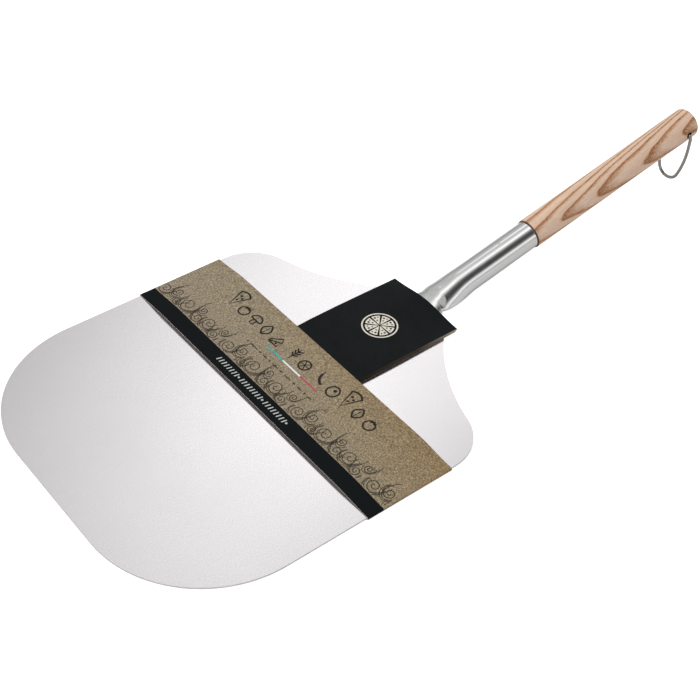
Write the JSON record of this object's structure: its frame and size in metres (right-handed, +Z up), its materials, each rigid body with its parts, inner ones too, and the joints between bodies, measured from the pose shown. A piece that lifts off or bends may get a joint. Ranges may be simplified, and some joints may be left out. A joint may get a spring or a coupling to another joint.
{
  "type": "pizza peel",
  "caption": "Pizza peel with a flat aluminium blade, a flattened tube socket, a round ash handle with a hanging ring, and a printed card sleeve with a neck cover.",
  "frame": {"origin": "middle of the overall length and width, on the surface the peel lies on", "axes": "+X from the blade's front edge to the handle's end, +Y across the blade, +Z up from the flat underside"},
  "size_m": [0.666, 0.303, 0.0792],
  "materials": {
    "blade_aluminium": "satin, fine rolled grain",
    "socket_aluminium": "polished tube",
    "rivet_aluminium": "plain",
    "ash_wood": "sanded, unvarnished",
    "nail_steel": "plain",
    "ring_steel": "bright plated wire",
    "kraft_card": "uncoated, printed",
    "black_card": "printed black"
  },
  "bodies": {
    "peel": {"blade": "blade_aluminium", "handle_socket": "socket_aluminium", "rivet_rear": "rivet_aluminium", "rivet_left": "rivet_aluminium", "rivet_right": "rivet_aluminium", "handle_grip": "ash_wood", "socket_nail": "nail_steel"},
    "ring": {"hanging_ring": "ring_steel"},
    "sleeve": {"card_band": "kraft_card", "neck_cover": "black_card"}
  },
  "joints": [
    {"name": "ring_swing", "type": "hinge", "parent": "peel", "child": "ring", "pos_m": [0.31797, 0, 0.0628], "axis": [0, -1, 0], "range_deg": [-58, 256]},
    {"name": "sleeve_slide", "type": "slide", "parent": "peel", "child": "sleeve", "axis": [-1, 0, 0], "range_m": [0, 0.356]}
  ]
}
